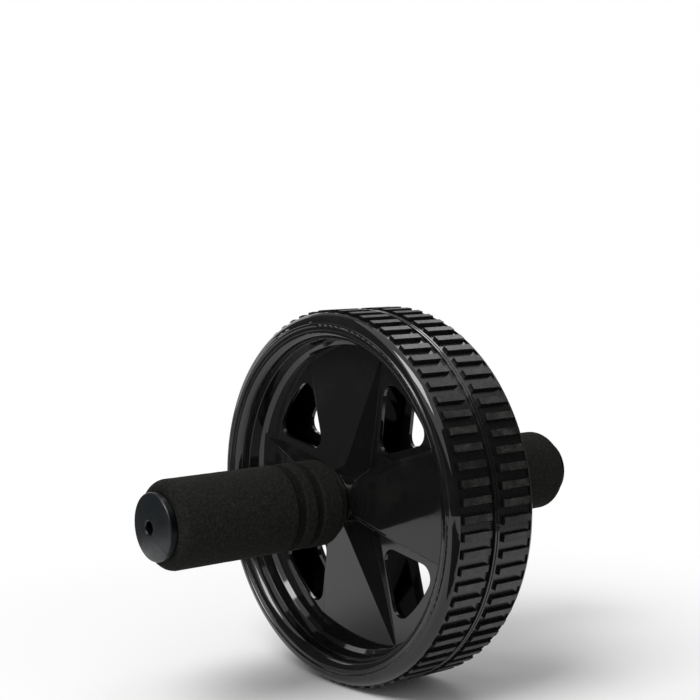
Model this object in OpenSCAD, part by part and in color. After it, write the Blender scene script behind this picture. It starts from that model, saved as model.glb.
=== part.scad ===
// Two-wheel ab roller with foam grips, in millimetres.
// The origin is the middle of the axle, which lies along Y. The roller stands on its tyres
// and rolls along X.

/* [Tyres] */
// Diameter over the tread lugs
tyre_d = 185; // [165:1:215]
// Thickness of the tread band between the lugs
tread_t = 2.8; // [2:0.1:3.5]
// Height of a lug above the tread band
lug_h = 2.1; // [1:0.1:3]
// Length of a lug across the tread
lug_len = 16.4; // [8:0.2:17]
// Width of a lug at its top
lug_w = 3.3; // [2:0.1:4]
// How much a lug widens towards its foot, on each side
lug_draft = 0.4; // [0:0.05:0.6]
// Number of lugs round each tyre
lug_count = 72; // [48:2:80]
// Width of the plain strip between the inner flange and the lugs
strip_w = 2.6; // [1:0.1:3.2]
// Turn of the left tyre's first lug from +X, in degrees
left_tyre_turn = 1.6; // [0:0.1:5]
// Turn of the right tyre's first lug from +X, in degrees
right_tyre_turn = 4.6; // [0:0.1:5]

/* [Rims] */
// Width of one rim, from its inner face to the front of its roll
rim_w = 25.75; // [25.5:0.05:28]
// Gap between the two rims
rim_gap = 0.5; // [0.3:0.1:1.5]
// Wall of the band that carries the tyre
band_t = 2.6; // [2:0.1:3.2]
// Thickness of the flange at the inner edge
flange_t = 1.1; // [0.8:0.1:1.6]
// Height of that flange above the tyre's seat
flange_h = 4.3; // [3.5:0.1:4.6]
// Radius of the rounded outer flange
bead_r = 5; // [4:0.1:5.4]
// How far that flange's rounding would rise above the tread band
bead_rise = 1.05; // [0.8:0.05:1.4]
// Width of the rounded flange, from the tyre to the flat lip
bead_w = 3.5; // [3.2:0.1:3.8]
// Radius of the fine roll between the rounded flange and the lip
roll_r = 0.95; // [0.7:0.05:1.2]
// How far the flat lip lies behind the front of that roll
lip_drop = 0.7; // [0.4:0.1:1]
// Width of that flat lip
lip_w = 1.7; // [1:0.1:2.2]
// Depth of the fine step inside the lip
crease = 0.5; // [0.2:0.1:0.8]
// Wall of the barrel that leads in to the wheel plate
barrel_t = 2.4; // [1.8:0.1:2.6]
// Radius of the barrel's rounded mouth
mouth_round = 4.5; // [3:0.1:5]
// How far that rounding reaches in under the lip
mouth_reach = 0.5; // [0:0.1:1]
// Distance along the axle from the crease to the ledge in the barrel
ledge_depth = 7.3; // [5.5:0.1:9]
// Width of that ledge
ledge = 0.4; // [0.2:0.1:0.8]
// How much the rest of the barrel narrows in radius
barrel_taper = 1.2; // [0.5:0.1:2.5]
// Height of the sloped step from the plate up to the barrel
step_h = 2; // [1:0.1:3]
// Thickness of a stiffening rib behind the barrel
rib_t = 1.8; // [1.2:0.1:2.4]
// Number of stiffening ribs behind the barrel
rib_count = 12; // [6:1:16]
// How far those ribs stop short of the rim's inner face
rib_stop = 2; // [1:0.5:6]

/* [Plates, spokes and windows] */
// Distance from the middle of the roller to the face of the wheel plate
plate_face = 10.4; // [8.5:0.1:11]
// Thickness of the wheel plate
plate_t = 2; // [1.6:0.1:2.6]
// Width of a spoke's sloping face at the plate's edge
spoke_w = 60.8; // [50:0.2:62]
// Width of that face at the hub
spoke_top_w = 13; // [8:0.2:20]
// Width of a spoke's foot at the hub
spoke_foot_w = 28.8; // [24:0.2:32]
// How far a spoke's face starts below the hub's outer end
facet_step = 1.5; // [0.4:0.1:3]
// Thickness of a spoke's sloping face
facet_t = 2.2; // [1.6:0.1:2.6]
// Thickness of a spoke's sloping sides
spoke_wall = 2; // [1.4:0.1:2.6]
// Turn of both wheels at rest, in degrees
wheel_turn = 3; // [0:0.5:45]
// Plain plate between the hub and the tip of a window
window_start = 21.5; // [12:0.5:22]
// Plain plate between a window and the plate's edge
window_margin = 9; // [6:0.5:12]
// Corner radius of a window at its tip
tip_r = 6; // [4:0.1:6.5]
// Corner radius of a window at its outer end
corner_r = 6.5; // [4:0.1:7]
// Half of the angle between a window's outer corners, in degrees
corner_half = 10.5; // [8:0.1:12]

/* [Hubs and bushes] */
// Diameter of the hub
hub_d = 27; // [25:0.5:30]
// Distance from the middle of the roller to the hub's outer end
hub_face = 22.4; // [20:0.1:23]
// Outer diameter of a bush sleeve
bush_d = 18; // [16:0.5:20]
// Length of a bush sleeve in the hub
bush_len = 8; // [5:0.5:9]
// Diameter of a bush flange
bush_flange_d = 23; // [21:0.5:24.5]
// Thickness of a bush flange
bush_flange_t = 1.2; // [0.8:0.1:1.6]
// Thickness of the washer between the wheels
middle_washer_t = 1; // [0.8:0.1:1.5]
// Outer diameter of that washer
middle_washer_d = 20; // [17:0.5:23]
// Thickness of an outer thrust washer
thrust_washer_t = 1; // [0.8:0.1:1.5]
// Outer diameter of an outer thrust washer
thrust_washer_d = 24; // [20:0.5:26]

/* [Axle and handles] */
// Diameter of the steel axle rod
rod_d = 12; // [10:0.5:13]
// Overall length, over both end caps
overall_len = 251.8; // [224:0.2:280]
// Room inside a handle's end, from the axle rod to the end cap
end_room = 14.4; // [13.5:0.1:18]
// Outer diameter of the handle core tube
core_d = 30; // [28:0.5:32]
// Wall of the handle core tube
core_wall = 2.5; // [2:0.1:3]
// Wall of the core's inner tube round the rod
core_boss_wall = 2.5; // [2:0.1:3]
// Thickness of the wall that the axle screw clamps
clamp_wall_t = 3.5; // [2.5:0.1:4]
// Thickness of the ribs between the core's two tubes
core_rib_t = 2; // [1.5:0.1:2.5]
// Number of those ribs
core_rib_count = 6; // [3:1:8]
// Diameter of the collar that runs against the thrust washer
collar_d = 27; // [25:0.5:29]
// Length of that collar
collar_len = 3.2; // [2:0.1:3.4]
// Diameter of the flange that backs the foam
backing_d = 36; // [34:0.5:38]
// Thickness of that flange
backing_t = 2; // [1.5:0.1:2.4]

/* [Foam grips and end caps] */
// Diameter of a foam grip
grip_d = 41.6; // [39:0.2:46]
// Radius of the grip's edge beside the wheel
grip_inner_r = 3; // [1:0.5:5]
// Radius of the grip's edge at its outer end
grip_outer_r = 5.5; // [2:0.5:5.5]
// Distance from the grip's inner end to its first groove
groove_start = 12.3; // [5:0.1:30]
// Width of a groove
groove_w = 5; // [2:0.1:8]
// Distance from one groove to the next
groove_pitch = 10; // [9:0.1:20]
// Depth of a groove
groove_h = 0.8; // [0.3:0.1:1.5]
// Run of a groove's steep side
groove_run = 0.2; // [0.1:0.1:1]
// Number of grooves
groove_count = 2; // [1:1:4]
// Diameter of the end cap's disc
cap_d = 31.4; // [30.5:0.1:34]
// Thickness of that disc in its middle
cap_t = 5.5; // [4.4:0.1:7]
// Height of the disc's domed front
cap_dome = 1.9; // [0.5:0.1:2.4]
// Radius of the disc's edge
cap_edge_r = 0.9; // [0.4:0.1:1.4]
// Length of the cap's spigot in the core tube
spigot_len = 8; // [5:0.5:8.5]
// Wall of the spigot
spigot_t = 2; // [1.5:0.1:2.5]
// Diameter of the hole for the hexagon key
key_hole_d = 6.2; // [4.6:0.1:7]
// Size of the chamfer round that hole
key_chamfer = 0.5; // [0.2:0.1:0.8]

/* [Axle screws] */
// Thread diameter of an axle screw
screw_d = 5; // [4:0.5:6]
// Length of the screw under its head
screw_len = 18; // [12:0.5:24]
// Diameter of the screw's head
screw_head_d = 8.5; // [7.5:0.1:10]
// Height of the screw's head
screw_head_h = 4; // [3:0.1:4.5]
// Width across flats of the hexagon socket
socket_w = 4; // [2.5:0.1:4]
// Outer diameter of the washer under the head
screw_washer_d = 14; // [11:0.5:16]
// Thickness of that washer
screw_washer_t = 1; // [0.8:0.1:1.5]

/* [Clearances] */
// Radial gap of a turning fit
running_gap = 0.05; // [0.02:0.01:0.1]
// Axial play beside each turning face
end_play = 0.05; // [0.03:0.01:0.2]
// Gap of pieces that are pushed together
seat_gap = 0.02; // [0.01:0.01:0.1]
// Gap under a tyre, which its adhesive fills
bond_gap = 0.08; // [0.05:0.01:0.15]
// Gap round the soft foam
foam_gap = 0.2; // [0.1:0.05:0.4]

/* [Hidden] */
$fn = 96;
spoke_count = 4;
overlap = 0.4;
through = 1;
arc_steps = 8;

tyre_r = tyre_d / 2;
tread_r = tyre_r - lug_h;
seat_r = tread_r - tread_t;
band_in_r = seat_r - band_t;

rim_in = rim_gap / 2;
rim_out = rim_in + rim_w;
lip_z = rim_out - lip_drop;
bead_z = lip_z - bead_r;
bead_back = lip_z - bead_w;
bead_centre_r = tread_r + bead_rise - bead_r;
roll_half = sqrt(pow(roll_r, 2) - pow(roll_r - lip_drop, 2));
roll_centre_r = bead_centre_r - roll_half;
lip_in_r = roll_centre_r - roll_half - lip_w;
mouth_z = lip_z - crease;
mouth_r = lip_in_r + mouth_reach;
ledge_z = mouth_z - ledge_depth;
barrel_r = mouth_r - mouth_round;
mouth_round_z = mouth_z - mouth_round;
plate_back = plate_face - plate_t;
foot_z = plate_face + step_h;
foot_r = barrel_r - ledge - barrel_taper;
plate_r = foot_r - step_h;

hub_r = hub_d / 2;
bush_in = middle_washer_t / 2 + end_play;
hub_in = bush_in + bush_flange_t;
bush_out = hub_face + bush_flange_t;
thrust_in = bush_out + end_play;
collar_in = thrust_in + thrust_washer_t + end_play;
backing_in = collar_in + collar_len;
foam_in = backing_in + backing_t + foam_gap;

facet_hub_z = hub_face - facet_step;
facet_fall = (facet_hub_z - plate_face) / (plate_r - hub_r);
facet_top = facet_hub_z + hub_r * facet_fall;
foot_turn = atan2((spoke_w - spoke_foot_w) / 2, plate_r - hub_r);
side_run = (spoke_foot_w - spoke_top_w) / 2 * cos(foot_turn);
side_draft = atan2(side_run, facet_hub_z - plate_face);

rod_r = rod_d / 2;
core_r = core_d / 2;
core_bore_r = core_r - core_wall;
boss_r = rod_r + running_gap + core_boss_wall;
cap_face = overall_len / 2;
cap_in = cap_face - cap_t;
cap_r = cap_d / 2;
dome_r = (pow(cap_r, 2) + pow(cap_dome, 2)) / (2 * cap_dome);
dome_z = cap_face - dome_r;
dome_turn = acos((cap_r - cap_edge_r) / (dome_r - cap_edge_r));
key_edge_r = key_hole_d / 2 + key_chamfer;
key_turn = acos(key_edge_r / dome_r);
rod_end = cap_in - end_room;
clamp_out = rod_end + clamp_wall_t;
core_out = cap_in - seat_gap;
foam_out = cap_in - foam_gap;
screw_r = screw_d / 2;
head_in = clamp_out + screw_washer_t;

tyre_in = rim_in + flange_t + seat_gap;
tyre_out = bead_back - seat_gap;
lug_in = tyre_in + strip_w;
lug_foot_r = tread_r - overlap;

tip_centre = hub_r + window_start + tip_r;
corner_centre = plate_r - window_margin - corner_r;

// Each side is drawn along Z from the middle of the roller, then laid along the axle
module left_side() rotate([90, 0, 0]) children();

module right_side() mirror([0, 1, 0]) left_side() children();

// A round piece with a hole, from one height to another
module ring(outer_r, inner_r, from, to) {
    translate([0, 0, from]) difference() {
        cylinder(r = outer_r, h = to - from);
        translate([0, 0, -through]) cylinder(r = inner_r, h = to - from + 2 * through);
    }
}

function arc(centre, r, from, to) = [
    for (i = [0 : arc_steps]) let (a = from + (to - from) * i / arc_steps)
        centre + r * [cos(a), sin(a)]
];

// Section of the rim: inner flange, band, rounded outer flange, roll, lip and barrel
module rim_section() {
    translate([band_in_r, rim_in]) square([band_t, bead_back - rim_in + overlap]);
    translate([band_in_r, rim_in]) square([band_t + flange_h, flange_t]);
    intersection() {
        translate([bead_centre_r, bead_z]) circle(r = bead_r);
        translate([bead_centre_r, bead_back]) square([bead_r, bead_w]);
    }
    translate([roll_centre_r, rim_out - roll_r]) circle(r = roll_r);
    intersection() {
        translate([mouth_r, mouth_round_z]) circle(r = mouth_round);
        translate([barrel_r - through, mouth_round_z])
            square([mouth_round + through, mouth_round + through]);
    }
    polygon([
        [barrel_r, mouth_round_z],
        [lip_in_r, mouth_round_z],
        [lip_in_r, lip_z],
        [bead_centre_r, lip_z],
        [bead_centre_r, bead_back],
        [mouth_r + overlap, bead_back],
        [barrel_r + barrel_t, ledge_z],
        [foot_r + barrel_t, foot_z],
        [foot_r + barrel_t, plate_back],
        [plate_r, plate_back],
        [plate_r, plate_face],
        [foot_r, foot_z],
        [barrel_r - ledge, ledge_z],
        [barrel_r, ledge_z]
    ]);
}

// Ribs that tie the tyre's band to the barrel, on the hidden side
module rim_ribs() {
    for (i = [0 : rib_count - 1])
        rotate([0, 0, (i + 0.5) * 360 / rib_count])
            rotate([90, 0, 0])
                translate([0, 0, -rib_t / 2])
                    linear_extrude(rib_t)
                        polygon([
                            [foot_r + barrel_t / 2, plate_back],
                            [foot_r + barrel_t / 2, foot_z],
                            [barrel_r + barrel_t / 2, ledge_z],
                            [mouth_r, bead_back],
                            [band_in_r + overlap, bead_back],
                            [band_in_r + overlap, rim_in + rib_stop]
                        ]);
}

// Outline of a window with its bisector along X
module window_outline() {
    tip = [tip_centre, 0];
    corner = corner_centre * [cos(corner_half), sin(corner_half)];
    reach = norm(corner - tip);
    side = atan2(corner[1], corner[0] - tip_centre) + acos((tip_r - corner_r) / reach);
    polygon(concat(
        arc(tip, tip_r, side, 360 - side),
        arc([corner[0], -corner[1]], corner_r, -side, -corner_half),
        arc([0, 0], corner_centre + corner_r, -corner_half, corner_half),
        arc(corner, corner_r, corner_half, side)
    ));
}

module at_windows() {
    for (i = [0 : spoke_count - 1])
        rotate([0, 0, (i + 0.5) * 360 / spoke_count]) children();
}

// Everything inside one sloping side of a spoke along X, which is moved in by an inset
module inside_side(inset) {
    translate([hub_r, spoke_foot_w / 2, plate_face])
        rotate([0, 0, foot_turn])
            rotate([side_draft, 0, 0])
                translate([-tyre_r, -tyre_r - inset, -tyre_r])
                    cube([2 * tyre_r, tyre_r, 2 * tyre_r]);
}

// Everything below a spoke's sloping face, which is lowered by a drop
module below_facet(from, drop) {
    rotate([90, 0, 0])
        translate([0, 0, -plate_r])
            linear_extrude(2 * plate_r)
                polygon([
                    [0, from],
                    [tyre_r, from],
                    [tyre_r, facet_top - drop - tyre_r * facet_fall],
                    [0, facet_top - drop]
                ]);
}

module spokes() {
    for (i = [0 : spoke_count - 1])
        rotate([0, 0, i * 360 / spoke_count])
            intersection() {
                ring(foot_r + barrel_t / 2, bush_d / 2 + spoke_wall, plate_back, hub_face);
                below_facet(plate_back, 0);
                inside_side(0);
                mirror([0, 1, 0]) inside_side(0);
            }
}

module spoke_hollows() {
    for (i = [0 : spoke_count - 1])
        rotate([0, 0, i * 360 / spoke_count])
            intersection() {
                ring(plate_r - spoke_wall, hub_r, plate_back - through, hub_face);
                below_facet(plate_back - through, facet_t);
                inside_side(spoke_wall);
                mirror([0, 1, 0]) inside_side(spoke_wall);
            }
}

// One wheel moulding: rim, plate, spokes and hub in one piece
module wheel() {
    color([0.09, 0.09, 0.09])
    rotate([0, 0, wheel_turn])
    difference() {
        union() {
            rotate_extrude() rim_section();
            rim_ribs();
            translate([0, 0, hub_in]) cylinder(r = hub_r, h = hub_face - hub_in);
            difference() {
                union() {
                    ring(plate_r + overlap, hub_r - overlap, plate_back, plate_face);
                    spokes();
                }
                spoke_hollows();
            }
        }
        translate([0, 0, plate_back - through])
            at_windows() linear_extrude(plate_t + 2 * through) window_outline();
        translate([0, 0, hub_in - through])
            cylinder(r = bush_d / 2, h = hub_face - hub_in + 2 * through);
    }
}

module tyre(turn) {
    color([0.17, 0.17, 0.165])
    difference() {
        union() {
            translate([0, 0, tyre_in]) cylinder(r = tread_r, h = tyre_out - tyre_in);
            for (i = [0 : lug_count - 1])
                rotate([0, 0, turn + i * 360 / lug_count])
                    translate([0, 0, lug_in])
                        linear_extrude(lug_len)
                            polygon([
                                [lug_foot_r, -lug_w / 2 - lug_draft],
                                [tyre_r, -lug_w / 2],
                                [tyre_r, lug_w / 2],
                                [lug_foot_r, lug_w / 2 + lug_draft]
                            ]);
        }
        translate([0, 0, tyre_in - through])
            cylinder(r = seat_r + bond_gap, h = tyre_out - tyre_in + 2 * through);
    }
}

// Flanged black sleeve, with its flange at one height and its sleeve running up or down from it
module bush(flange_from, sleeve_from) {
    color([0.08, 0.08, 0.08])
    union() {
        ring(bush_flange_d / 2, rod_r + running_gap, flange_from, flange_from + bush_flange_t);
        ring(bush_d / 2 - seat_gap, rod_r + running_gap, sleeve_from, sleeve_from + bush_len);
    }
}

module inner_bush() bush(bush_in, hub_in);

module outer_bush() bush(hub_face, hub_face - bush_len);

module thrust_washer() {
    color([0.08, 0.08, 0.08])
    ring(thrust_washer_d / 2, rod_r + running_gap, thrust_in, thrust_in + thrust_washer_t);
}

module middle_washer() {
    color([0.08, 0.08, 0.08])
    rotate([90, 0, 0])
        ring(middle_washer_d / 2, rod_r + running_gap, -middle_washer_t / 2, middle_washer_t / 2);
}

module axle_rod() {
    color([0.66, 0.67, 0.68])
    rotate([90, 0, 0])
    difference() {
        translate([0, 0, -rod_end]) cylinder(r = rod_r, h = 2 * rod_end);
        for (end = [0, 1])
            mirror([0, 0, end])
                translate([0, 0, rod_end - screw_len])
                    cylinder(r = screw_r + seat_gap, h = screw_len + through);
    }
}

// Moulded core: an outer tube for the foam, an inner tube for the rod, and ribs between them
module handle_core() {
    color([0.08, 0.08, 0.08])
    difference() {
        union() {
            translate([0, 0, collar_in]) cylinder(r = collar_d / 2, h = collar_len + overlap);
            translate([0, 0, backing_in]) cylinder(r = backing_d / 2, h = backing_t);
            ring(core_r, core_bore_r, backing_in, core_out);
            translate([0, 0, backing_in]) cylinder(r = boss_r, h = clamp_out - backing_in);
            for (i = [0 : core_rib_count - 1])
                rotate([0, 0, i * 360 / core_rib_count])
                    translate([0, -core_rib_t / 2, backing_in])
                        cube([core_bore_r + overlap, core_rib_t, clamp_out - backing_in]);
        }
        translate([0, 0, collar_in - through])
            cylinder(r = rod_r + running_gap, h = rod_end - collar_in + through);
        translate([0, 0, rod_end - through])
            cylinder(r = screw_r + running_gap, h = clamp_wall_t + 2 * through);
    }
}

// Foam sleeve with rounded ends and shallow grooves beside the wheel
module foam_grip() {
    grip_r = grip_d / 2;
    color([0.14, 0.14, 0.135])
    rotate_extrude() difference() {
        polygon(concat(
            [[core_r + seat_gap, foam_in]],
            arc([grip_r - grip_inner_r, foam_in + grip_inner_r], grip_inner_r, -90, 0),
            arc([grip_r - grip_outer_r, foam_out - grip_outer_r], grip_outer_r, 0, 90),
            [[core_r + seat_gap, foam_out]]
        ));
        for (i = [0 : groove_count - 1])
            translate([grip_r, foam_in + groove_start + i * groove_pitch])
                polygon([[0, 0], [through, 0], [through, groove_w], [0, groove_w],
                    [-groove_h, groove_w - groove_h], [-groove_h, groove_run]]);
    }
}

// Plug that closes the handle core, with a domed front and a hole for the hexagon key
module end_cap() {
    spigot_r = core_bore_r - seat_gap;
    edge_z = dome_z + (dome_r - cap_edge_r) * sin(dome_turn);
    color([0.18, 0.2, 0.21])
    rotate_extrude()
        polygon(concat(
            [
                [key_hole_d / 2, cap_in],
                [spigot_r - spigot_t, cap_in],
                [spigot_r - spigot_t, cap_in - spigot_len],
                [spigot_r, cap_in - spigot_len],
                [spigot_r, cap_in],
                [cap_r, cap_in]
            ],
            arc([cap_r - cap_edge_r, edge_z], cap_edge_r, 0, dome_turn),
            arc([0, dome_z], dome_r, dome_turn, key_turn),
            [[key_hole_d / 2, dome_z + dome_r * sin(key_turn) - key_chamfer]]
        ));
}

module axle_screw() {
    color([0.6, 0.61, 0.62])
    difference() {
        union() {
            translate([0, 0, head_in]) cylinder(r = screw_head_d / 2, h = screw_head_h);
            translate([0, 0, head_in - screw_len]) cylinder(r = screw_r, h = screw_len + overlap);
        }
        translate([0, 0, head_in + screw_head_h / 2])
            cylinder(d = socket_w / cos(30), h = screw_head_h, $fn = 6);
    }
}

module screw_washer() {
    color([0.72, 0.73, 0.74])
    ring(screw_washer_d / 2, screw_r + running_gap, clamp_out, head_in);
}

axle_rod();
middle_washer();
left_side() wheel();  // left_wheel
right_side() wheel();  // right_wheel
left_side() tyre(left_tyre_turn);  // left_tyre
right_side() tyre(right_tyre_turn);  // right_tyre
left_side() inner_bush();  // left_inner_bush
right_side() inner_bush();  // right_inner_bush
left_side() outer_bush();  // left_outer_bush
right_side() outer_bush();  // right_outer_bush
left_side() thrust_washer();  // left_thrust_washer
right_side() thrust_washer();  // right_thrust_washer
left_side() handle_core();  // left_handle_core
right_side() handle_core();  // right_handle_core
left_side() foam_grip();  // left_foam_grip
right_side() foam_grip();  // right_foam_grip
left_side() end_cap();  // left_end_cap
right_side() end_cap();  // right_end_cap
left_side() axle_screw();  // left_axle_screw
right_side() axle_screw();  // right_axle_screw
left_side() screw_washer();  // left_screw_washer
right_side() screw_washer();  // right_screw_washer
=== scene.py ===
import bpy
import math
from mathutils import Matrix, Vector


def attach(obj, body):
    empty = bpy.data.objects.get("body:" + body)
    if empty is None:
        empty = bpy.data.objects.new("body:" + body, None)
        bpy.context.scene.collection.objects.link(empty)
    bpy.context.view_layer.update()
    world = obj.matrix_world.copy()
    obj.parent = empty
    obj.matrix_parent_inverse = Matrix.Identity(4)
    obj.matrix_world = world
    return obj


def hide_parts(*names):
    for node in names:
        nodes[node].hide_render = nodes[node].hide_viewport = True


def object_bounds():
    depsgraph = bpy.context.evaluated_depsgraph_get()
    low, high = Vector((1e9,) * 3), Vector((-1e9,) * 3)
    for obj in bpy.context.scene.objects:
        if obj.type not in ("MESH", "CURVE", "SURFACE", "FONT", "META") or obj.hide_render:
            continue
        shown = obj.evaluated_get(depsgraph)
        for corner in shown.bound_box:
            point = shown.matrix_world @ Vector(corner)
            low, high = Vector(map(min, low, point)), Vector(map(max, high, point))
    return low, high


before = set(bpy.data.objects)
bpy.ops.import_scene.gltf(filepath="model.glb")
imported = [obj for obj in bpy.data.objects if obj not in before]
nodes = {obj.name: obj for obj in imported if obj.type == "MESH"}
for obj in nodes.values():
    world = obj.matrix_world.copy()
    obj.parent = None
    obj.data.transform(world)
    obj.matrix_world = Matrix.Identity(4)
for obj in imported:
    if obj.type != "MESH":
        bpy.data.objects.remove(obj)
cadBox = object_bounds()
scene = bpy.context.scene
scene.view_settings.view_transform = "Standard"
print("frame:", len(nodes), "parts, box", [round(v, 4) for v in cadBox[1] - cadBox[0]])

mm = 0.001
firstColour, secondColour, mixedColour = 6, 7, 2    # a Mix node's two colour inputs and its colour output


def srgb(code):
    channels = [int(code[i:i + 2], 16) / 255 for i in (1, 3, 5)]
    return [c / 12.92 if c <= 0.04045 else ((c + 0.055) / 1.055) ** 2.4 for c in channels] + [1.0]


def addNode(tree, kind, links=None, values=None, **settings):
    # links and values are keyed by the input's name or number
    node = tree.nodes.new(kind)
    for key, value in settings.items():
        setattr(node, key, value)
    for key, value in (values or {}).items():
        node.inputs[key].default_value = value
    for key, socket in (links or {}).items():
        tree.links.new(socket, node.inputs[key])
    return node


def newMaterial(name):
    material = bpy.data.materials.new(name)
    material.use_nodes = True
    material.node_tree.nodes.clear()
    return material, material.node_tree


def newFinish(name):
    # a material with its tree, and the coordinates that its patterns follow
    material, tree = newMaterial(name)
    return material, tree, addNode(tree, "ShaderNodeTexCoord").outputs["Object"]


def finishMaterial(tree, shader):
    addNode(tree, "ShaderNodeOutputMaterial", {"Surface": shader.outputs[0]})


def dress(nodeNames, material):
    for name in nodeNames:
        slots = nodes[name].data.materials
        if len(slots) == 0:
            slots.append(material)
        for i in range(len(slots)):
            slots[i] = material


def bothSides(name):
    return ["left_" + name, "right_" + name]


cameraView = {
    "place": (0.56157, -0.45568, 0.12743),
    "turn": (82.905, 0.679, 51.198),   # degrees
    "sensorMm": 36,
    "lensMm": 75.978,
    "shift": (-0.0128, 0.1),           # the roller stands low in the frame
    "clip": (0.01, 20),                # nearest and farthest, in metres
}

cameraData = bpy.data.cameras.new("productCamera")
cameraData.sensor_width = cameraView["sensorMm"]
cameraData.lens = cameraView["lensMm"]
cameraData.shift_x, cameraData.shift_y = cameraView["shift"]
cameraData.clip_start, cameraData.clip_end = cameraView["clip"]
camera = bpy.data.objects.new("productCamera", cameraData)
camera.location = cameraView["place"]
camera.rotation_euler = [math.radians(a) for a in cameraView["turn"]]
scene.collection.objects.link(camera)
scene.camera = camera
print("camera set")


# the floor, the lamps, and the cards that a glossy black product mirrors: a card glows evenly, lights
# nothing and is seen only in a gloss; a tone of 1 is white
studio = {
    "floorSize": 12.0,
    "floorColour": "#f4f4f4",
    "fadeFrom": 0.1,       # metres from the roller where the floor begins to turn plain white
    "fadeTo": 0.36,
    "skyFill": 0.45,       # strength of the light from all round
    "lamps": [
        # name, place, aim, width, height, watts
        ("topBox", (0.19, -0.60, 0.80), (0, 0, 0), 0.55, 0.45, 7),
        ("backBox", (-0.45, 0.55, 0.9), (0, 0, 0), 0.8, 0.4, 3.5),
    ],
    "cards": [
        # name, the two ends of its lower edge, its height, how far it leans back in degrees, its tone
        ("leftCard", (-0.278, -0.04, -0.0925), (-0.141, -0.72, -0.0925), 0.6, 0, 0.08),
        ("rearCard", (-0.32, 0.45, 0.23), (-0.278, -0.04, 0.23), 0.5, 0, 0.3),
        ("glintStrip", (-0.201, -0.103, 0.03), (-0.219, -0.057, 0.03), 0.08, 0, 1.5),
        ("frontCard", (-0.12, -0.72, -0.0925), (0.95, -0.75, -0.0925), 0.36, 0, 0.03),
        ("cameraCard", (0.95, -0.75, -0.09), (0.95, 0.05, -0.09), 0.9, 0, 0.02),
        ("tableCard", (0.12, -0.50, -0.0915), (0.42, -0.50, -0.0915), 0.44, -90, 0.03),
        ("rightCard", (0.45, -0.02, -0.0925), (0.15, 0.50, -0.0925), 0.5, 0, 0.05),
        ("farCard", (0.15, 0.50, -0.0925), (-0.38, 0.48, -0.0925), 0.42, 0, 0.06),
    ],
}


def seenRay(tree):
    # 1 for what the camera, a gloss or a glass sees, 0 for the light that falls on things
    ray = addNode(tree, "ShaderNodeLightPath").outputs
    seen = addNode(tree, "ShaderNodeMath", {0: ray["Is Camera Ray"], 1: ray["Is Glossy Ray"]}, operation="MAXIMUM")
    return addNode(tree, "ShaderNodeMath", {0: seen.outputs[0], 1: ray["Is Transmission Ray"]},
                   operation="MAXIMUM").outputs[0]


def studioSheet(name, corners, material):
    mesh = bpy.data.meshes.new(name)
    mesh.from_pydata(corners, [], [(0, 1, 2, 3)])
    mesh.materials.append(material)
    sheet = bpy.data.objects.new(name, mesh)
    scene.collection.objects.link(sheet)
    return sheet


# matt paper, which keeps the shadow near the roller and turns plain white farther out
paperSweep, tree, coordinates = newFinish("whitePaperSweep")
reach = addNode(tree, "ShaderNodeVectorMath", {0: coordinates}, operation="LENGTH")
whiter = addNode(tree, "ShaderNodeMapRange", {"Value": reach.outputs["Value"]},
                 {"From Min": studio["fadeFrom"], "From Max": studio["fadeTo"]}, interpolation_type="SMOOTHSTEP")
fade = addNode(tree, "ShaderNodeMath", {0: whiter.outputs[0], 1: seenRay(tree)}, operation="MULTIPLY")
paper = addNode(tree, "ShaderNodeBsdfDiffuse", values={"Color": srgb(studio["floorColour"])})
glow = addNode(tree, "ShaderNodeEmission", values={"Color": (1, 1, 1, 1), "Strength": 1.0})
sweep = addNode(tree, "ShaderNodeMixShader", {0: fade.outputs[0], 1: paper.outputs[0], 2: glow.outputs[0]})
finishMaterial(tree, sweep)

half = studio["floorSize"] / 2
floorCorners = [(-half, -half, 0), (half, -half, 0), (half, half, 0), (-half, half, 0)]
floor = studioSheet("studioFloor", floorCorners, paperSweep)
floor.location = (0, 0, cadBox[0].z)

world = bpy.data.worlds.new("paleStudio")
scene.world = world
world.use_nodes = True
tree = world.node_tree
tree.nodes.clear()
strength = addNode(tree, "ShaderNodeMapRange", {"Value": seenRay(tree)}, {"To Min": studio["skyFill"], "To Max": 1.0})
sky = addNode(tree, "ShaderNodeBackground", {"Strength": strength.outputs[0]}, {"Color": (1, 1, 1, 1)})
addNode(tree, "ShaderNodeOutputWorld", {"Surface": sky.outputs[0]})

for name, place, aim, width, height, watts in studio["lamps"]:
    lampData = bpy.data.lights.new(name, "AREA")
    lampData.shape = "RECTANGLE"
    lampData.size, lampData.size_y = width, height
    lampData.energy = watts
    lamp = bpy.data.objects.new(name, lampData)
    lamp.location = place
    lamp.visible_camera = False
    lamp.rotation_euler = (Vector(place) - Vector(aim)).to_track_quat("Z", "Y").to_euler()
    scene.collection.objects.link(lamp)

for name, start, end, height, lean, tone in studio["cards"]:
    # each card glows evenly at its tone, standing in for a lit or a dark card
    cardGlowSheet, tree = newMaterial(name + "Cloth")
    finishMaterial(tree, addNode(tree, "ShaderNodeEmission", values={"Color": (1, 1, 1, 1), "Strength": tone}))
    start, end, lean = Vector(start), Vector(end), math.radians(lean)
    side = Vector((start.y - end.y, end.x - start.x, 0)).normalized()
    rise = (Vector((0, 0, math.cos(lean))) - side * math.sin(lean)) * height
    card = studioSheet(name, [start, end, end + rise, start + rise], cardGlowSheet)
    card.visible_camera = card.visible_diffuse = card.visible_shadow = False
print("studio set")


def grainBump(tree, coordinates, sizeMm, depthMm, detail=3.0, under=None):
    # a noise whose cells are about sizeMm wide, and the bump that it makes
    noise = addNode(tree, "ShaderNodeTexNoise", {"Vector": coordinates},
                    {"Scale": 1 / (sizeMm * mm), "Detail": detail, "Roughness": 0.6})
    links = {"Height": noise.outputs[0]}
    if under is not None:
        links["Normal"] = under
    return noise, addNode(tree, "ShaderNodeBump", links, {"Distance": depthMm * mm, "Strength": 1.0})


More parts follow.
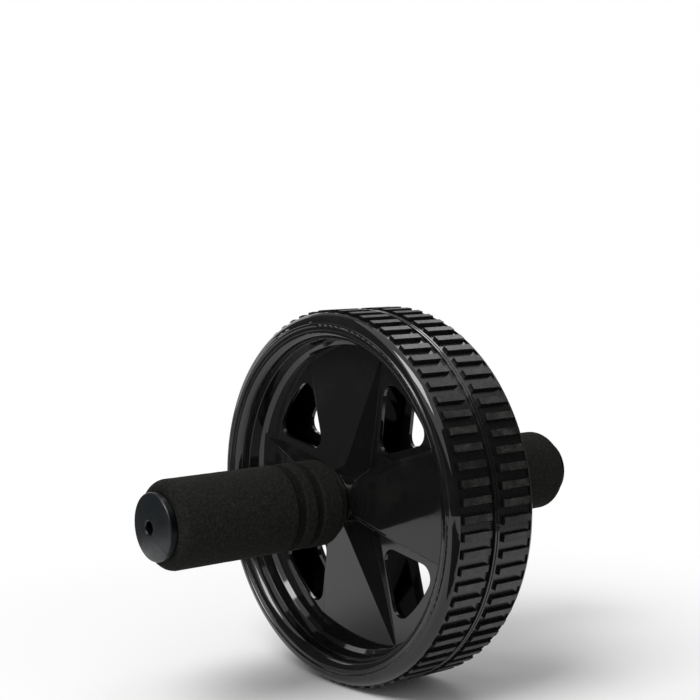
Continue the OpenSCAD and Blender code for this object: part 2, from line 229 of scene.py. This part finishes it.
def fromAxle(tree, coordinates):
    # how far a point lies from the axle, which runs along y
    axes = addNode(tree, "ShaderNodeSeparateXYZ", {0: coordinates})
    across = addNode(tree, "ShaderNodeCombineXYZ", {0: axes.outputs[0], 1: axes.outputs[2]})
    return addNode(tree, "ShaderNodeVectorMath", {0: across.outputs[0]}, operation="LENGTH").outputs["Value"]


# in the finishes below, a spread is the stretch of a noise, from 0 to 1, over which its look comes in,
# and a pair of roughnesses holds the lowest and the highest

# ABS, injection moulded in a polished tool: near black, a clear gloss, a slow ripple from the flow
wheelFinish = {
    "colour": "#121212",
    "scuff": "#1b1b1a",
    "scuffMm": 26.0,
    "scuffSpread": (0.5, 0.75),
    "roughness": (0.03, 0.10),
    "dullSpread": (0.3, 0.75),
    "edgeMm": 0.4,                # rounds the edges, which makes the light lines along them
    "edgeSamples": 12,
    "rippleMm": 9.0,
    "rippleDepthMm": 0.012,
}
glossAbs, tree, coordinates = newFinish("mouldedGlossAbs")
edge = addNode(tree, "ShaderNodeBevel", values={"Radius": wheelFinish["edgeMm"] * mm},
               samples=wheelFinish["edgeSamples"])
rippleBump = grainBump(tree, coordinates, wheelFinish["rippleMm"], wheelFinish["rippleDepthMm"],
                       1.0, edge.outputs[0])[1]
cloud = addNode(tree, "ShaderNodeTexNoise", {"Vector": coordinates},
                {"Scale": 1 / (wheelFinish["scuffMm"] * mm), "Detail": 5.0, "Roughness": 0.65})
scuffed = addNode(tree, "ShaderNodeMapRange", {"Value": cloud.outputs[0]},
                  {"From Min": wheelFinish["scuffSpread"][0], "From Max": wheelFinish["scuffSpread"][1]})
colour = addNode(tree, "ShaderNodeMix", {0: scuffed.outputs[0]},
                 {firstColour: srgb(wheelFinish["colour"]), secondColour: srgb(wheelFinish["scuff"])},
                 data_type="RGBA")
rough = addNode(tree, "ShaderNodeMapRange", {"Value": cloud.outputs[0]},
                {"From Min": wheelFinish["dullSpread"][0], "From Max": wheelFinish["dullSpread"][1],
                 "To Min": wheelFinish["roughness"][0], "To Max": wheelFinish["roughness"][1]})
finishMaterial(tree, addNode(tree, "ShaderNodeBsdfPrincipled",
                             {"Base Color": colour.outputs[mixedColour], "Roughness": rough.outputs[0],
                              "Normal": rippleBump.outputs[0]}, {"IOR": 1.54}))

# SBR rubber, vulcanised in a blasted mould: dark grey, matte and chalky on the lug tops, smoother between the lugs,
# where the walls and floors are left dark as painted shade; the mould's grain is drawn at 0.8 mm so that it shows
treadFinish = {
    "colour": "#121212",
    # chalk on the lug tops; where it is left off, below the tops, the dark base is painted shade
    "chalkAndShade": "#444440",
    "patchMm": 5.0,
    "patchSpread": (0.42, 0.7),
    "speckSpread": (0.42, 0.62),
    "speckShare": (0.15, 1.3),    # how much chalk the grain's dips and tops take
    "lugTopMm": (92.0, 92.4),     # from the axle
    "grainMm": 0.8,
    "grainDepthMm": 0.04,
    "roughness": (0.31, 0.58),
    "valleyShare": 0.6,           # the share of that roughness between the lugs
    "shine": 0.5,
}
treadRubber, tree, coordinates = newFinish("vulcanisedTreadRubber")
grain, grainNormal = grainBump(tree, coordinates, treadFinish["grainMm"], treadFinish["grainDepthMm"], 4.0)
# painted shade: only the lug tops take the chalk, so the lugs' walls and the floors between them stay dark
lugTop = addNode(tree, "ShaderNodeMapRange", {"Value": fromAxle(tree, coordinates)},
                 {"From Min": treadFinish["lugTopMm"][0] * mm, "From Max": treadFinish["lugTopMm"][1] * mm})
patch = addNode(tree, "ShaderNodeTexNoise", {"Vector": coordinates},
                {"Scale": 1 / (treadFinish["patchMm"] * mm), "Detail": 6.0, "Roughness": 0.7})
patchShare = addNode(tree, "ShaderNodeMapRange", {"Value": patch.outputs[0]},
                     {"From Min": treadFinish["patchSpread"][0], "From Max": treadFinish["patchSpread"][1]})
speckShare = addNode(tree, "ShaderNodeMapRange", {"Value": grain.outputs[0]},
                     {"From Min": treadFinish["speckSpread"][0], "From Max": treadFinish["speckSpread"][1],
                      "To Min": treadFinish["speckShare"][0], "To Max": treadFinish["speckShare"][1]})
patches = addNode(tree, "ShaderNodeMath", {0: lugTop.outputs[0], 1: patchShare.outputs[0]}, operation="MULTIPLY")
chalkAndShade = addNode(tree, "ShaderNodeMath", {0: patches.outputs[0], 1: speckShare.outputs[0]}, operation="MULTIPLY")
colour = addNode(tree, "ShaderNodeMix", {0: chalkAndShade.outputs[0]},
                 {firstColour: srgb(treadFinish["colour"]), secondColour: srgb(treadFinish["chalkAndShade"])},
                 data_type="RGBA")
lugRough = addNode(tree, "ShaderNodeMapRange", {"Value": grain.outputs[0]},
                   {"To Min": treadFinish["roughness"][0], "To Max": treadFinish["roughness"][1]})
wear = addNode(tree, "ShaderNodeMapRange", {"Value": lugTop.outputs[0]}, {"To Min": treadFinish["valleyShare"]})
rough = addNode(tree, "ShaderNodeMath", {0: lugRough.outputs[0], 1: wear.outputs[0]}, operation="MULTIPLY")
finishMaterial(tree, addNode(tree, "ShaderNodeBsdfPrincipled",
                             {"Base Color": colour.outputs[mixedColour], "Roughness": rough.outputs[0],
                              "Normal": grainNormal.outputs[0]},
                             {"IOR": 1.52, "Specular IOR Level": treadFinish["shine"]}))

# nitrile foam, ground to shape: dull charcoal with cut cells all over, drawn at 0.6 mm so that they show,
# and darker in the two grooves as painted shade
foamFinish = {
    "colour": "#161614",
    "worn": "#252522",
    "wornMm": 1.4,
    "wornSpread": (0.4, 0.7),
    # painted shade in the grooves
    "grooveShade": "#10100e",
    "grooveShadeMm": (19.9, 20.6),    # from the axle: from a groove's floor to the plain foam
    "plainMm": ((41.5, 41.0), (59.5, 60.0)),    # from the roller's middle: plain again on both sides of the grooves
    "cellMm": 0.6,
    "cellDepthMm": 0.12,
    "lumpMm": 5.0,
    "lumpDepthMm": 0.12,
    "roughness": 0.93,
    "shine": 0.1,
}
groundFoam, tree, coordinates = newFinish("groundNitrileFoam")
lumpBump = grainBump(tree, coordinates, foamFinish["lumpMm"], foamFinish["lumpDepthMm"])[1]
cells = addNode(tree, "ShaderNodeTexVoronoi", {"Vector": coordinates},
                {"Scale": 1 / (foamFinish["cellMm"] * mm)}, feature="F1")
cellBump = addNode(tree, "ShaderNodeBump", {"Height": cells.outputs["Distance"], "Normal": lumpBump.outputs[0]},
                   {"Distance": foamFinish["cellDepthMm"] * mm, "Strength": 1.0})
rub = addNode(tree, "ShaderNodeTexNoise", {"Vector": coordinates},
              {"Scale": 1 / (foamFinish["wornMm"] * mm), "Detail": 4.0, "Roughness": 0.7})
worn = addNode(tree, "ShaderNodeMapRange", {"Value": rub.outputs[0]},
               {"From Min": foamFinish["wornSpread"][0], "From Max": foamFinish["wornSpread"][1]})
ground = addNode(tree, "ShaderNodeMix", {0: worn.outputs[0]},
                 {firstColour: srgb(foamFinish["colour"]), secondColour: srgb(foamFinish["worn"])},
                 data_type="RGBA")
# painted shade: the grooves are darker from their floor up to the plain outside, only along the grooved stretch
plain = addNode(tree, "ShaderNodeMapRange", {"Value": fromAxle(tree, coordinates)},
                {"From Min": foamFinish["grooveShadeMm"][0] * mm, "From Max": foamFinish["grooveShadeMm"][1] * mm},
                interpolation_type="SMOOTHSTEP")
axes = addNode(tree, "ShaderNodeSeparateXYZ", {0: coordinates})
along = addNode(tree, "ShaderNodeMath", {0: axes.outputs[1]}, operation="ABSOLUTE")
for start, end in foamFinish["plainMm"]:
    beyond = addNode(tree, "ShaderNodeMapRange", {"Value": along.outputs[0]},
                     {"From Min": start * mm, "From Max": end * mm})
    plain = addNode(tree, "ShaderNodeMath", {0: plain.outputs[0], 1: beyond.outputs[0]}, operation="MAXIMUM")
colour = addNode(tree, "ShaderNodeMix", {0: plain.outputs[0], secondColour: ground.outputs[mixedColour]},
                 {firstColour: srgb(foamFinish["grooveShade"])}, data_type="RGBA")
finishMaterial(tree, addNode(tree, "ShaderNodeBsdfPrincipled",
                             {"Base Color": colour.outputs[mixedColour], "Normal": cellBump.outputs[0]},
                             {"Roughness": foamFinish["roughness"], "IOR": 1.45,
                              "Specular IOR Level": foamFinish["shine"]}))

# the same foam where its cells are torn open: paler, dusty rims
tornFinish = {"colour": "#24231f", "pale": "#45433d", "tintMm": 2.0, "roughness": 0.95, "shine": 0.1}
tornFoam, tree, coordinates = newFinish("tornFoamCells")
tint = addNode(tree, "ShaderNodeTexNoise", {"Vector": coordinates},
               {"Scale": 1 / (tornFinish["tintMm"] * mm), "Detail": 2.0})
colour = addNode(tree, "ShaderNodeMix", {0: tint.outputs[0]},
                 {firstColour: srgb(tornFinish["colour"]), secondColour: srgb(tornFinish["pale"])},
                 data_type="RGBA")
finishMaterial(tree, addNode(tree, "ShaderNodeBsdfPrincipled", {"Base Color": colour.outputs[mixedColour]},
                             {"Roughness": tornFinish["roughness"], "Specular IOR Level": tornFinish["shine"]}))

# polypropylene, moulded in a fine-grained tool: blue-black satin, with the tool's split line across it;
# the grain is drawn at 0.35 mm so that it shows
capFinish = {
    "colour": "#14181b",
    "shade": "#050607",           # painted shade in the split line and the hole, and on the wall behind the face
    "shine": (0.15, 0.5),         # there, and on the face
    "roughness": (0.24, 0.40),
    "smearMm": 6.0,
    "smearSpread": (0.3, 0.7),
    "grainMm": 0.35,
    "grainDepthMm": 0.01,
    "edgeMm": 0.3,
    "edgeSamples": 6,
    "splitTurn": -40.0,           # degrees
    "splitWidthMm": 0.25,
    "splitDepthMm": 0.12,
    "faceMm": (123.3, 123.7),     # from the middle of the roller
    "holeMm": (3.05, 3.25),       # from the axle
}
satinCap, tree, coordinates = newFinish("satinPolypropylene")
edge = addNode(tree, "ShaderNodeBevel", values={"Radius": capFinish["edgeMm"] * mm},
               samples=capFinish["edgeSamples"])
grainNormal = grainBump(tree, coordinates, capFinish["grainMm"], capFinish["grainDepthMm"],
                        2.0, edge.outputs[0])[1]
turned = addNode(tree, "ShaderNodeVectorRotate", {"Vector": coordinates},
                 {"Axis": (0, 1, 0), "Angle": math.radians(capFinish["splitTurn"])}, rotation_type="AXIS_ANGLE")
axes = addNode(tree, "ShaderNodeSeparateXYZ", {0: turned.outputs[0]})
across = addNode(tree, "ShaderNodeMath", {0: axes.outputs[2]}, operation="ABSOLUTE")
along = addNode(tree, "ShaderNodeMath", {0: axes.outputs[1]}, operation="ABSOLUTE")
clear = addNode(tree, "ShaderNodeMapRange", {"Value": across.outputs[0]},
                {"From Max": capFinish["splitWidthMm"] * mm}, interpolation_type="SMOOTHSTEP")
splitBump = addNode(tree, "ShaderNodeBump", {"Height": clear.outputs[0], "Normal": grainNormal.outputs[0]},
                    {"Distance": capFinish["splitDepthMm"] * mm, "Strength": 1.0})
smear = addNode(tree, "ShaderNodeTexNoise", {"Vector": coordinates},
                {"Scale": 1 / (capFinish["smearMm"] * mm), "Detail": 4.0, "Roughness": 0.6})
rough = addNode(tree, "ShaderNodeMapRange", {"Value": smear.outputs[0]},
                {"From Min": capFinish["smearSpread"][0], "From Max": capFinish["smearSpread"][1],
                 "To Min": capFinish["roughness"][0], "To Max": capFinish["roughness"][1]})
front = addNode(tree, "ShaderNodeMapRange", {"Value": along.outputs[0]},
                {"From Min": capFinish["faceMm"][0] * mm, "From Max": capFinish["faceMm"][1] * mm})
outside = addNode(tree, "ShaderNodeMapRange", {"Value": fromAxle(tree, coordinates)},
                  {"From Min": capFinish["holeMm"][0] * mm, "From Max": capFinish["holeMm"][1] * mm})
onFace = addNode(tree, "ShaderNodeMath", {0: front.outputs[0], 1: outside.outputs[0]}, operation="MULTIPLY")
shown = addNode(tree, "ShaderNodeMath", {0: onFace.outputs[0], 1: clear.outputs[0]}, operation="MULTIPLY")
shine = addNode(tree, "ShaderNodeMapRange", {"Value": shown.outputs[0]},
                {"To Min": capFinish["shine"][0], "To Max": capFinish["shine"][1]})
# painted shade off the face: dark in the split line, in the hole and on the wall behind the face
colour = addNode(tree, "ShaderNodeMix", {0: shown.outputs[0]},
                 {firstColour: srgb(capFinish["shade"]), secondColour: srgb(capFinish["colour"])},
                 data_type="RGBA")
finishMaterial(tree, addNode(tree, "ShaderNodeBsdfPrincipled",
                             {"Base Color": colour.outputs[mixedColour], "Roughness": rough.outputs[0],
                              "Specular IOR Level": shine.outputs[0], "Normal": splitBump.outputs[0]},
                             {"IOR": 1.49}))

# nylon with glass fibre, moulded: black satin with pale fibre flecks, drawn at 0.9 mm so that they show
coreFinish = {"colour": "#121211", "fibre": "#232322", "fibreMm": 0.9, "fibreDepthMm": 0.015,
              "fibreSpread": (0.55, 0.7), "roughness": 0.48}
glassNylon, tree, coordinates = newFinish("glassFilledNylon")
fibre, fibreBump = grainBump(tree, coordinates, coreFinish["fibreMm"], coreFinish["fibreDepthMm"], 5.0)
fleck = addNode(tree, "ShaderNodeMapRange", {"Value": fibre.outputs[0]},
                {"From Min": coreFinish["fibreSpread"][0], "From Max": coreFinish["fibreSpread"][1]})
colour = addNode(tree, "ShaderNodeMix", {0: fleck.outputs[0]},
                 {firstColour: srgb(coreFinish["colour"]), secondColour: srgb(coreFinish["fibre"])},
                 data_type="RGBA")
finishMaterial(tree, addNode(tree, "ShaderNodeBsdfPrincipled",
                             {"Base Color": colour.outputs[mixedColour], "Normal": fibreBump.outputs[0]},
                             {"Roughness": coreFinish["roughness"], "IOR": 1.53}))

# acetal, turned: black and waxy, with fine rings from the tool, drawn at 0.25 mm so that they show
bushFinish = {"colour": "#151515", "ringMm": 0.25, "ringDepthMm": 0.008, "ringWander": 0.4, "roughness": 0.36}
waveWidth = 0.314    # how wide one ring of a Wave node is at a scale of 1
turnedAcetal, tree, coordinates = newFinish("turnedBlackAcetal")
rings = addNode(tree, "ShaderNodeTexWave", {"Vector": coordinates},
                {"Scale": waveWidth / (bushFinish["ringMm"] * mm), "Distortion": bushFinish["ringWander"]},
                wave_type="RINGS", rings_direction="Y")
ringBump = addNode(tree, "ShaderNodeBump", {"Height": rings.outputs[1]},
                   {"Distance": bushFinish["ringDepthMm"] * mm, "Strength": 1.0})
finishMaterial(tree, addNode(tree, "ShaderNodeBsdfPrincipled", {"Normal": ringBump.outputs[0]},
                             {"Base Color": srgb(bushFinish["colour"]), "Roughness": bushFinish["roughness"],
                              "IOR": 1.48}))

# mild steel, drawn and zinc plated: bright, with lines along the draw, made 0.3 mm wide so that they show
steelFinish = {
    "colour": "#b9bbbd",
    "shade": "#9a9c9f",
    "lineMm": 0.3,
    "lineDepthMm": 0.006,
    "alongShare": 0.03,           # the lines' scale along the draw, against that across it
    "roughness": (0.19, 0.39),
}
zincSteel, tree, coordinates = newFinish("zincPlatedSteel")
stretched = addNode(tree, "ShaderNodeMapping", {"Vector": coordinates}, {"Scale": (1, steelFinish["alongShare"], 1)})
lines, lineBump = grainBump(tree, stretched.outputs[0], steelFinish["lineMm"], steelFinish["lineDepthMm"])
colour = addNode(tree, "ShaderNodeMix", {0: lines.outputs[0]},
                 {firstColour: srgb(steelFinish["colour"]), secondColour: srgb(steelFinish["shade"])},
                 data_type="RGBA")
rough = addNode(tree, "ShaderNodeMapRange", {"Value": lines.outputs[0]},
                {"To Min": steelFinish["roughness"][0], "To Max": steelFinish["roughness"][1]})
finishMaterial(tree, addNode(tree, "ShaderNodeBsdfPrincipled",
                             {"Base Color": colour.outputs[mixedColour], "Roughness": rough.outputs[0],
                              "Normal": lineBump.outputs[0]}, {"Metallic": 1.0}))

dress(bothSides("wheel"), glossAbs)
dress(bothSides("tyre"), treadRubber)
dress(bothSides("end_cap"), satinCap)
dress(bothSides("handle_core"), glassNylon)
dress(["middle_washer"] + bothSides("inner_bush") + bothSides("outer_bush") + bothSides("thrust_washer"), turnedAcetal)
dress(["axle_rod"] + bothSides("axle_screw") + bothSides("screw_washer"), zincSteel)
print("materials set")


# the foam grips, which stand for their plain solids
gripShape = {
    "boreMm": 15.02,
    "radiusMm": 20.8,
    "innerEndMm": 30.1,           # from the middle of the roller
    "outerEndMm": 120.18,
    "innerEdgeMm": 3.0,           # radius of the rounded edge beside the wheel
    "outerEdgeMm": 5.5,
    "edgeSteps": 10,
    "endFlatsMm": (1.2, 1.0),     # flat beside that edge, on each end face
    "wallFlatsMm": (0.5, 0.3),    # and on the outside
    "groovesMm": ((42.4, 4.9), (52.4, 5.9)),    # where each starts, and its width
    "grooveDepthMm": 1.2,
    "grooveSlopeMm": 1.2,         # width of its sloping wall beside the wheel
    "grooveWallMm": 0.5,          # and of its steep wall towards the hand
    "grooveMarginMm": 0.6,        # how far beside it the steps are fine
    "fineStepMm": 0.2,
    "stepMm": 1.0,
    "boreSteps": 24,
    "segments": 192,
    "lumpMm": 0.12,               # how far the ground surface wanders
    "lumpSizeMm": 6.0,
    "lumpsFromMm": 0.3,           # out from the bore, which stays plain
}
cutCells = {
    "perCm2": 26,
    "corners": 5,
    "radiusMm": 0.16,
    "heightMm": 0.08,
    "sizes": (0.5, 1.4),          # smallest and largest, as a share of these two
    "fromMm": 1.5,                # out from the bore
    "seeds": {"left": 11, "right": 12},
}


def eased(share):
    return share * share * (3 - 2 * share)


def grooveDepth(along):
    for start, width in gripShape["groovesMm"]:
        if start < along < start + width:
            slope = min(1, (along - start) / gripShape["grooveSlopeMm"])
            wall = min(1, (start + width - along) / gripShape["grooveWallMm"])
            return gripShape["grooveDepthMm"] * eased(slope) * eased(wall)
    return 0


def roundedEdge(middle, along, radius, firstAngle):
    # a quarter circle, as (radius, distance along the axle)
    steps = gripShape["edgeSteps"]
    angles = [math.radians(firstAngle + 90 * i / steps) for i in range(steps + 1)]
    return [(middle + radius * math.cos(a), along + radius * math.sin(a)) for a in angles]


def sleeveProfile():
    # closed outline as (radius, distance along the axle), in millimetres
    bore, radius = gripShape["boreMm"], gripShape["radiusMm"]
    first, last = gripShape["innerEndMm"], gripShape["outerEndMm"]
    innerEdge, outerEdge = gripShape["innerEdgeMm"], gripShape["outerEdgeMm"]
    endFlats, wallFlats = gripShape["endFlatsMm"], gripShape["wallFlatsMm"]
    margin, boreSteps = gripShape["grooveMarginMm"], gripShape["boreSteps"]
    outline = [(bore, first), (radius - innerEdge - endFlats[0], first)]
    outline += roundedEdge(radius - innerEdge, first + innerEdge, innerEdge, -90)
    along = first + innerEdge + wallFlats[0]
    while along < last - outerEdge - wallFlats[1]:
        outline.append((radius - grooveDepth(along), along))
        nearGroove = any(start - margin < along < start + width + margin for start, width in gripShape["groovesMm"])
        along += gripShape["fineStepMm"] if nearGroove else gripShape["stepMm"]
    outline += roundedEdge(radius - outerEdge, last - outerEdge, outerEdge, 0)
    outline += [(radius - outerEdge - endFlats[1], last), (bore, last)]
    outline += [(bore, last + (first - last) * i / boreSteps) for i in range(1, boreSteps)]
    return outline


def newTree(name, sockets):
    tree = bpy.data.node_groups.new(name, "GeometryNodeTree")
    tree.interface.new_socket("Geometry", in_out="INPUT", socket_type="NodeSocketGeometry")
    for label, kind in sockets:
        tree.interface.new_socket(label, in_out="INPUT", socket_type="NodeSocket" + kind)
    tree.interface.new_socket("Geometry", in_out="OUTPUT", socket_type="NodeSocketGeometry")
    return tree, addNode(tree, "NodeGroupInput").outputs


def endTree(tree, geometry, material):
    real = addNode(tree, "GeometryNodeRealizeInstances", {0: geometry})
    painted = addNode(tree, "GeometryNodeSetMaterial", {"Geometry": real.outputs[0], "Material": material})
    addNode(tree, "NodeGroupOutput", {0: painted.outputs[0]})
    return tree


def outsideOf(tree, radius):
    # true where a sleeve is farther from the axle than radius
    spot = addNode(tree, "GeometryNodeInputPosition")
    return addNode(tree, "FunctionNodeCompare", {0: fromAxle(tree, spot.outputs[0]), 1: radius},
                   data_type="FLOAT", operation="GREATER_THAN").outputs[0]


def foamSleeveTree():
    # sweeps the outline round the axle and lets its ground outside wander a little
    tree, given = newTree("foamSleeve", [("Segments", "Int"), ("Bore Radius", "Float"), ("Outside From", "Float"),
                                         ("Lump Height", "Float"), ("Lump Size", "Float"), ("Foam", "Material")])
    outline = addNode(tree, "GeometryNodeMeshToCurve", {0: given["Geometry"]})
    path = addNode(tree, "GeometryNodeCurvePrimitiveCircle",
                   {"Resolution": given["Segments"], "Radius": given["Bore Radius"]})
    swept = addNode(tree, "GeometryNodeCurveToMesh", {"Curve": path.outputs[0], "Profile Curve": outline.outputs[0]})
    laid = addNode(tree, "GeometryNodeTransform", {0: swept.outputs[0]}, {"Rotation": (math.pi / 2, 0, 0)})
    spot = addNode(tree, "GeometryNodeInputPosition")
    tight = addNode(tree, "ShaderNodeMath", {1: given["Lump Size"]}, {0: 1.0}, operation="DIVIDE")
    lumps = addNode(tree, "ShaderNodeTexNoise", {"Vector": spot.outputs[0], "Scale": tight.outputs[0]},
                    {"Detail": 3.0})
    centred = addNode(tree, "ShaderNodeMath", {0: lumps.outputs[0]}, {1: 0.5}, operation="SUBTRACT")
    height = addNode(tree, "ShaderNodeMath", {0: centred.outputs[0], 1: given["Lump Height"]}, operation="MULTIPLY")
    normal = addNode(tree, "GeometryNodeInputNormal")
    push = addNode(tree, "ShaderNodeVectorMath", {0: normal.outputs[0], "Scale": height.outputs[0]}, operation="SCALE")
    moved = addNode(tree, "GeometryNodeSetPosition",
                    {"Geometry": laid.outputs[0], "Selection": outsideOf(tree, given["Outside From"]),
                     "Offset": push.outputs[0]})
    smooth = addNode(tree, "GeometryNodeSetShadeSmooth", {0: moved.outputs[0]}, {"Shade Smooth": True})
    return endTree(tree, smooth.outputs[0], given["Foam"])


def cutCellTree():
    # strews the torn rims of cut foam cells over the outside of a sleeve
    tree, given = newTree("cutCells", [("Outside From", "Float"), ("Cells per m2", "Float"), ("Corners", "Int"),
                                       ("Cell Radius", "Float"), ("Cell Height", "Float"), ("Smallest", "Float"),
                                       ("Largest", "Float"), ("Seed", "Int"), ("Torn Foam", "Material")])
    points = addNode(tree, "GeometryNodeDistributePointsOnFaces",
                     {"Mesh": given["Geometry"], "Selection": outsideOf(tree, given["Outside From"]),
                      "Density": given["Cells per m2"], "Seed": given["Seed"]})
    rim = addNode(tree, "GeometryNodeMeshCone",
                  {"Vertices": given["Corners"], "Radius Bottom": given["Cell Radius"], "Depth": given["Cell Height"]},
                  {"Radius Top": 0.0})
    size = addNode(tree, "FunctionNodeRandomValue",
                   {2: given["Smallest"], 3: given["Largest"], "Seed": given["Seed"]}, data_type="FLOAT")
    placed = addNode(tree, "GeometryNodeInstanceOnPoints",
                     {"Points": points.outputs[0], "Instance": rim.outputs[0],
                      "Rotation": points.outputs["Rotation"], "Scale": size.outputs[1]})
    return endTree(tree, placed.outputs[0], given["Torn Foam"])


def grow(piece, tree, sizes):
    # runs a tree on a piece with its named inputs set, and returns the result as a plain mesh object
    modifier = piece.modifiers.new(tree.name, "NODES")
    modifier.node_group = tree
    for item in tree.interface.items_tree:
        if item.in_out == "INPUT" and item.name in sizes:
            modifier[item.identifier] = sizes[item.name]
    depsgraph = bpy.context.evaluated_depsgraph_get()
    mesh = bpy.data.meshes.new_from_object(piece.evaluated_get(depsgraph))
    piece.modifiers.remove(modifier)
    made = bpy.data.objects.new(piece.name + "Made", mesh)
    scene.collection.objects.link(made)
    return made


sleeveTree, cellTree = foamSleeveTree(), cutCellTree()
bore = gripShape["boreMm"]
for side, sign in (("left", -1), ("right", 1)):
    outline = [((radius - bore) * mm, sign * along * mm, 0) for radius, along in sleeveProfile()]
    if sign < 0:
        outline.reverse()
    outlineMesh = bpy.data.meshes.new(side + "Outline")
    outlineMesh.from_pydata(outline, [(i, (i + 1) % len(outline)) for i in range(len(outline))], [])
    outlineObject = bpy.data.objects.new(side + "Outline", outlineMesh)
    scene.collection.objects.link(outlineObject)

    grip = grow(outlineObject, sleeveTree, {
        "Segments": gripShape["segments"],
        "Bore Radius": bore * mm,
        "Outside From": (bore + gripShape["lumpsFromMm"]) * mm,
        "Lump Height": gripShape["lumpMm"] * mm,
        "Lump Size": gripShape["lumpSizeMm"] * mm,
        "Foam": groundFoam,
    })
    grip.name = side + "FoamGrip"
    bpy.data.objects.remove(outlineObject)

    flecks = grow(grip, cellTree, {
        "Outside From": (bore + cutCells["fromMm"]) * mm,
        "Cells per m2": cutCells["perCm2"] * 1e4,
        "Corners": cutCells["corners"],
        "Cell Radius": cutCells["radiusMm"] * mm,
        "Cell Height": cutCells["heightMm"] * mm,
        "Smallest": cutCells["sizes"][0],
        "Largest": cutCells["sizes"][1],
        "Seed": cutCells["seeds"][side],
        "Torn Foam": tornFoam,
    })
    flecks.name = side + "CutCells"

    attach(grip, "axle_and_handles")
    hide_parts(side + "_foam_grip")
    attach(flecks, "axle_and_handles")
    print(side, "grip:", len(grip.data.polygons), "faces,", len(flecks.data.polygons), "faces of cut cells")
